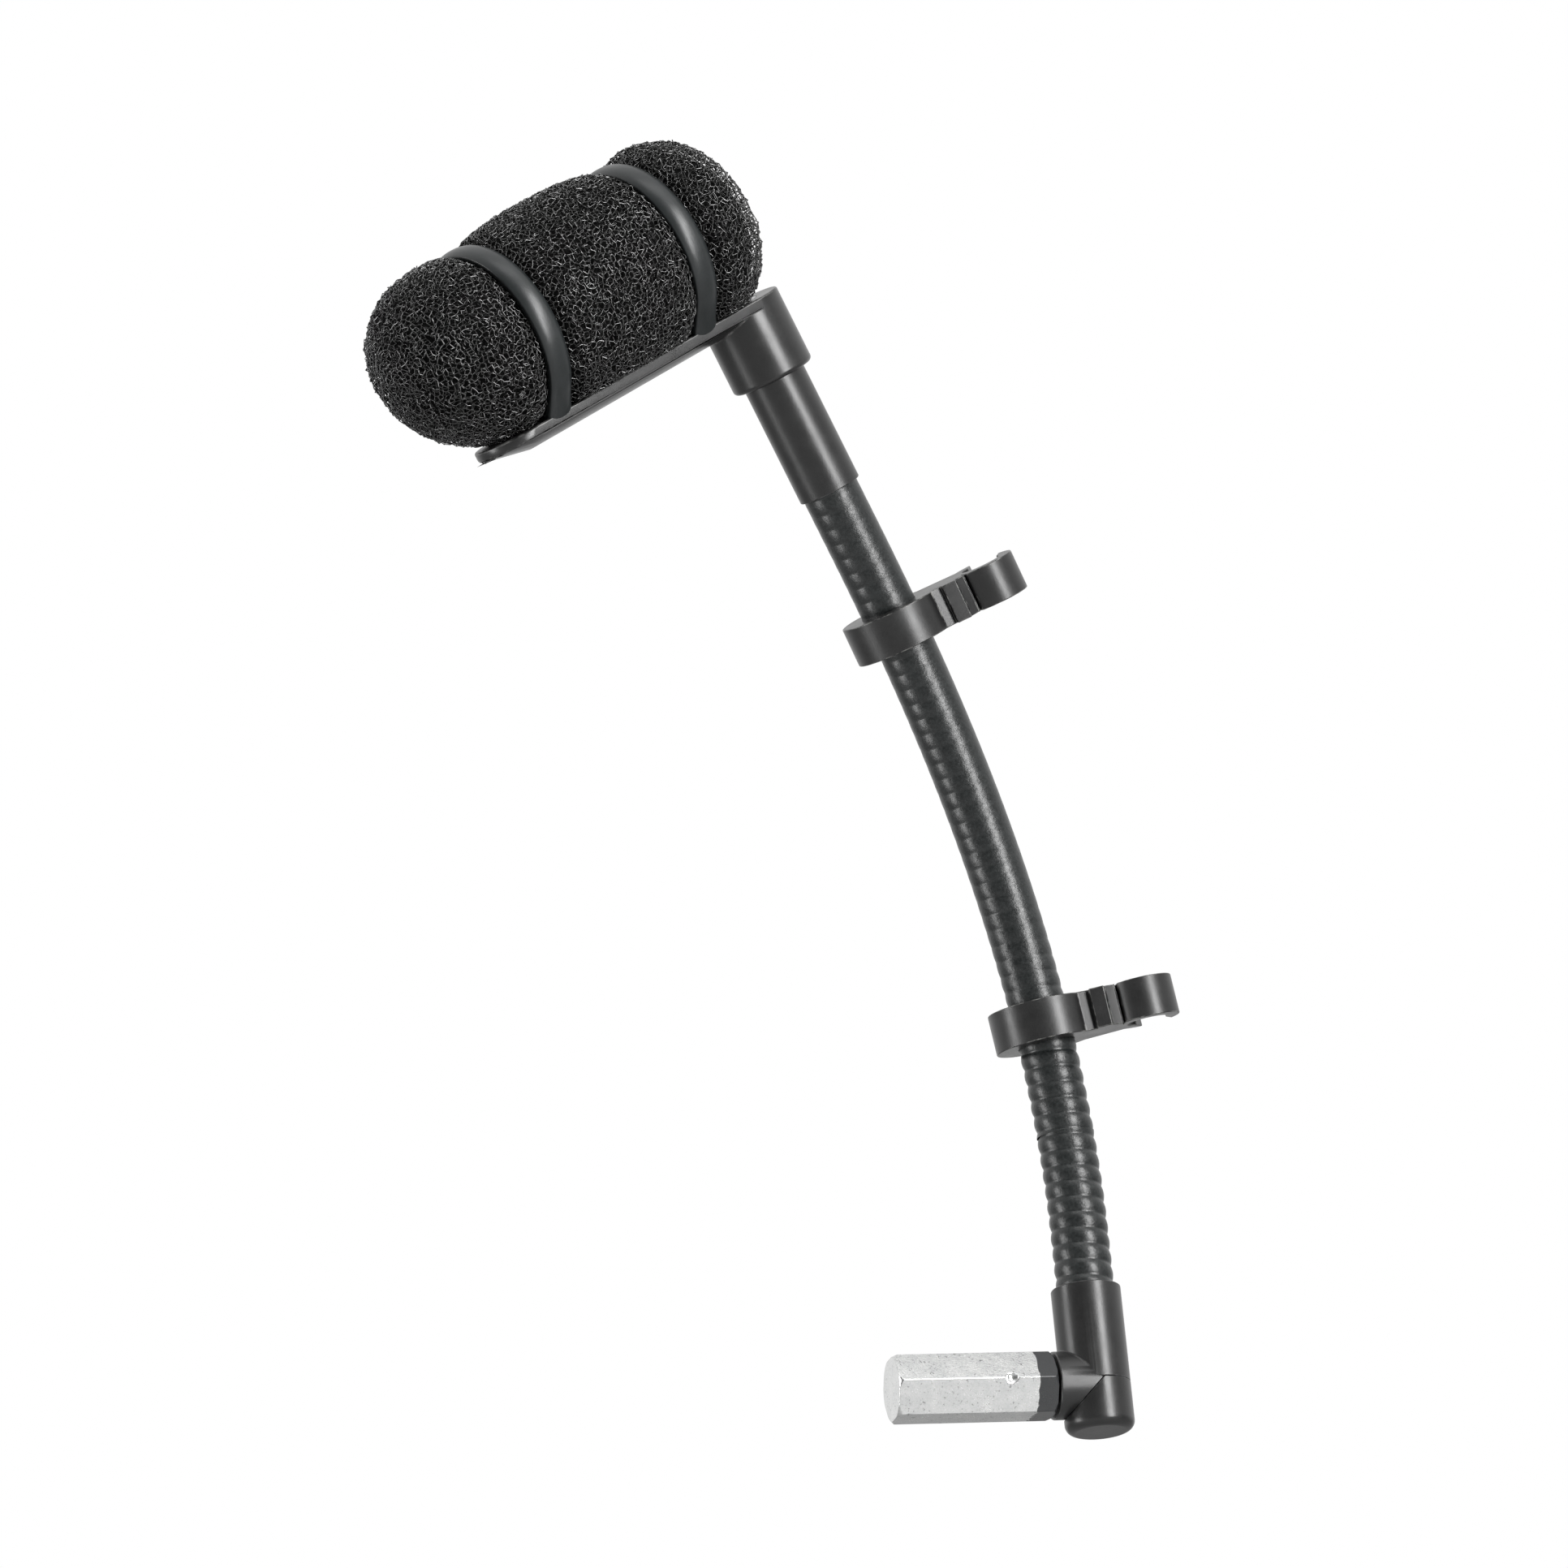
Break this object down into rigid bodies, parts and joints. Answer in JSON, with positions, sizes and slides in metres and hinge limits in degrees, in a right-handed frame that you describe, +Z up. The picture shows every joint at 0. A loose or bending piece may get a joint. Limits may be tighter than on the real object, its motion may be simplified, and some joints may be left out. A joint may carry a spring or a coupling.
{
  "type": "clip-on gooseneck microphone",
  "caption": "Foam-covered microphone in a hooped cradle on a bendable jacketed neck, with two cable clips and an elbow that ends in a hexagonal mounting stud.",
  "frame": {"origin": "where the elbow's upright axis crosses the axis of the hexagonal stud", "axes": "+Z up along the elbow's sleeve, -X out along the hexagonal stud, +Y completes a right-handed frame; the neck leans towards -X and -Y"},
  "size_m": [0.0873, 0.0471, 0.1296],
  "materials": {
    "foam": "open-cell black acoustic foam",
    "hoop_rubber": "matte charcoal moulded rubber",
    "cradle_plastic": "satin charcoal moulded plastic with flash on the rail",
    "jacket_rubber": "grained black rubber sleeve drawn over a wound neck",
    "clip_plastic": "satin charcoal moulded plastic",
    "black_metal": "fine-grained black paint",
    "bare_metal": "bare speckled metal with a painted root",
    "spring_steel": "wound spring wire",
    "brass": "turned brass",
    "inner_black": "black plastic",
    "can_metal": "drawn aluminium",
    "board": "green circuit board"
  },
  "bodies": {
    "base": {"elbow_body": "black_metal", "elbow_cap": "black_metal", "hex_stud": "bare_metal", "stud_pin": "spring_steel", "bottom_ferrule": "brass", "neck_jacket_1": "jacket_rubber", "neck_core_1": "spring_steel"},
    "link_2": {"neck_jacket_2": "jacket_rubber", "neck_core_2": "spring_steel"},
    "link_3": {"neck_jacket_3": "jacket_rubber", "neck_core_3": "spring_steel"},
    "link_4": {"neck_jacket_4": "jacket_rubber", "neck_core_4": "spring_steel"},
    "link_5": {"neck_jacket_5": "jacket_rubber", "neck_core_5": "spring_steel"},
    "link_6": {"neck_jacket_6": "jacket_rubber", "neck_core_6": "spring_steel"},
    "link_7": {"neck_jacket_7": "jacket_rubber", "neck_core_7": "spring_steel"},
    "neck_top": {"neck_jacket_8": "jacket_rubber", "neck_core_8": "spring_steel", "top_ferrule": "brass", "top_sleeve": "black_metal", "swivel_screw": "spring_steel"},
    "mic_cradle": {"cradle": "cradle_plastic", "front_hoop": "hoop_rubber", "rear_hoop": "hoop_rubber", "foam_windscreen": "foam", "mic_housing": "black_metal", "front_grille": "black_metal", "capsule_gasket": "hoop_rubber", "capsule_can": "can_metal", "diaphragm": "inner_black", "backplate": "brass", "preamp_board": "board", "rear_cap": "black_metal", "cable_gland": "hoop_rubber", "friction_washer": "inner_black"},
    "lower_clip_body": {"lower_clip": "clip_plastic"},
    "upper_clip_body": {"upper_clip": "clip_plastic"}
  },
  "joints": [
    {"name": "neck_bend_1", "type": "hinge", "parent": "base", "child": "link_2", "pos_m": [0, 0, 0.02127], "axis": [-0.6018, 0.7986, 0], "range_deg": [-25, 25]},
    {"name": "neck_side_2", "type": "hinge", "parent": "link_2", "child": "link_3", "pos_m": [-0.00103, -0.00077, 0.03227], "axis": [0.7869, 0.593, 0.1707], "range_deg": [-25, 25]},
    {"name": "neck_bend_3", "type": "hinge", "parent": "link_3", "child": "link_4", "pos_m": [-0.00302, -0.00227, 0.04307], "axis": [-0.6018, 0.7986, 0], "range_deg": [-25, 25]},
    {"name": "neck_side_4", "type": "hinge", "parent": "link_4", "child": "link_5", "pos_m": [-0.00588, -0.00443, 0.05354], "axis": [0.7425, 0.5595, 0.3684], "range_deg": [-25, 25]},
    {"name": "neck_bend_5", "type": "hinge", "parent": "link_5", "child": "link_6", "pos_m": [-0.00953, -0.00718, 0.06364], "axis": [-0.6018, 0.7986, 0], "range_deg": [-25, 25]},
    {"name": "neck_side_6", "type": "hinge", "parent": "link_6", "child": "link_7", "pos_m": [-0.01384, -0.01043, 0.0733], "axis": [0.6828, 0.5145, 0.5187], "range_deg": [-25, 25]},
    {"name": "neck_bend_7", "type": "hinge", "parent": "link_7", "child": "neck_top", "pos_m": [-0.01869, -0.01409, 0.08256], "axis": [-0.6018, 0.7986, 0], "range_deg": [-25, 25]},
    {"name": "cradle_swivel", "type": "hinge", "parent": "neck_top", "child": "mic_cradle", "pos_m": [-0.02389, -0.01801, 0.09152], "axis": [-0.4694, -0.3537, 0.809], "continuous": true},
    {"name": "lower_clip_swivel", "type": "hinge", "parent": "link_3", "child": "lower_clip_body", "pos_m": [-0.00215, -0.00162, 0.03835], "axis": [-0.1795, -0.1353, 0.9744], "continuous": true},
    {"name": "upper_clip_swivel", "type": "hinge", "parent": "link_7", "child": "upper_clip_body", "pos_m": [-0.01657, -0.01249, 0.07852], "axis": [-0.4384, -0.3304, 0.8359], "continuous": true}
  ]
}
